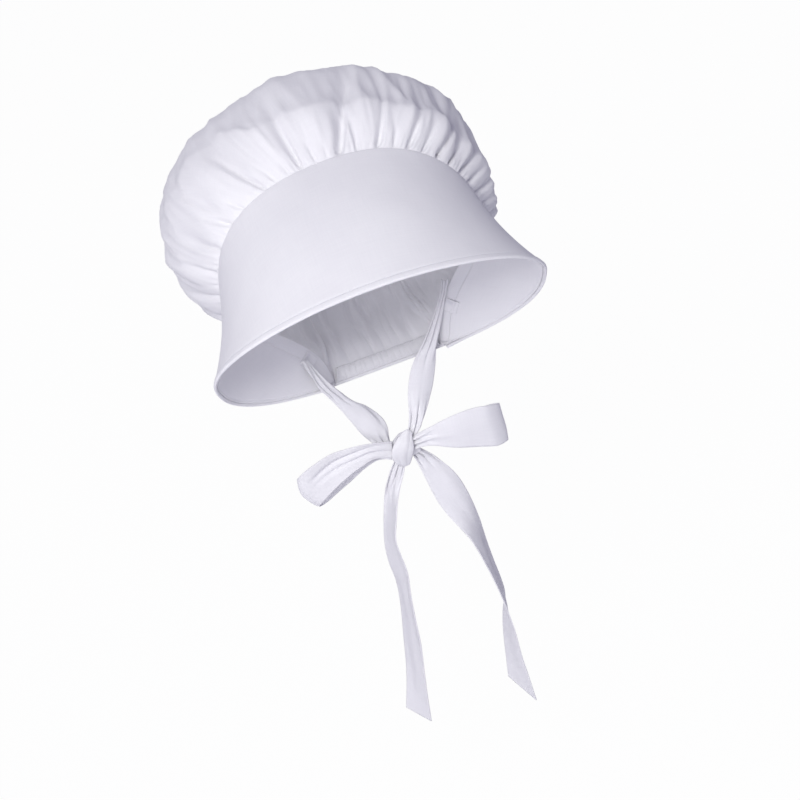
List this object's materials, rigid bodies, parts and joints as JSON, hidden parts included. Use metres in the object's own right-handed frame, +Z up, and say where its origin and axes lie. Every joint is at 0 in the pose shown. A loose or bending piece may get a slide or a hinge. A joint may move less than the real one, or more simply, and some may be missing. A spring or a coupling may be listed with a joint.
{
  "type": "gathered bonnet with brim and chin ties",
  "caption": "Soft cotton bonnet with a deep stiffened brim, a full gathered crown, an elastic nape and long chin ties knotted in a bow.",
  "frame": {"origin": "centre of the head opening, the loop where the crown is sewn to the brim", "axes": "the wearer faces -Y, +Z is up and +X is to the right as seen from the front; the ties hang along -Z"},
  "size_m": [0.2518, 0.2726, 0.5728],
  "materials": {
    "cotton": "white plain-weave cotton, matt",
    "interfacing": "stiff woven interfacing, matt",
    "tape": "folded cotton tape, matt",
    "elastic": "braided flat elastic",
    "thread": "white sewing thread"
  },
  "bodies": {
    "bonnet": {"brim_outer": "cotton", "brim_interfacing": "interfacing", "brim_lining": "cotton", "brim_topstitch": "thread", "brim_bobbin_stitch": "thread", "seam_binding": "tape", "seam_binding_stitch": "thread", "crown": "cotton", "crown_gathering_thread": "thread", "nape_casing": "tape", "nape_elastic": "elastic", "nape_casing_stitch_lower": "thread", "nape_casing_stitch_upper": "thread", "elastic_tack_left": "thread", "elastic_tack_right": "thread", "tie_anchor_left": "cotton", "tie_anchor_right": "cotton", "tie_tack_left": "thread", "tie_tack_right": "thread"},
    "chin_ties": {"tie_strap_left": "cotton", "tie_strap_right": "cotton", "bow_knot": "cotton"},
    "loop_left": {"bow_loop_left": "cotton"},
    "loop_right": {"bow_loop_right": "cotton"},
    "tail_left": {"tie_tail_left": "cotton"},
    "tail_right": {"tie_tail_right": "cotton"}
  },
  "joints": [
    {"name": "ties_swing", "type": "hinge", "parent": "bonnet", "child": "chin_ties", "pos_m": [0, 0.003, -0.062], "axis": [-1, 0, 0], "range_deg": [-3, 70]},
    {"name": "tail_left_swing", "type": "hinge", "parent": "chin_ties", "child": "tail_left", "pos_m": [-0.009, 0.003, -0.164], "axis": [-1, 0, 0], "range_deg": [-45, 15]},
    {"name": "tail_right_swing", "type": "hinge", "parent": "chin_ties", "child": "tail_right", "pos_m": [-0.009, 0.003, -0.164], "axis": [-1, 0, 0], "range_deg": [-45, 15]},
    {"name": "loop_left_droop", "type": "hinge", "parent": "chin_ties", "child": "loop_left", "pos_m": [-0.009, 0.003, -0.164], "axis": [0, -1, 0], "range_deg": [-20, 8]},
    {"name": "loop_right_droop", "type": "hinge", "parent": "chin_ties", "child": "loop_right", "pos_m": [-0.009, 0.003, -0.164], "axis": [0, 1, 0], "range_deg": [-20, 6]}
  ]
}
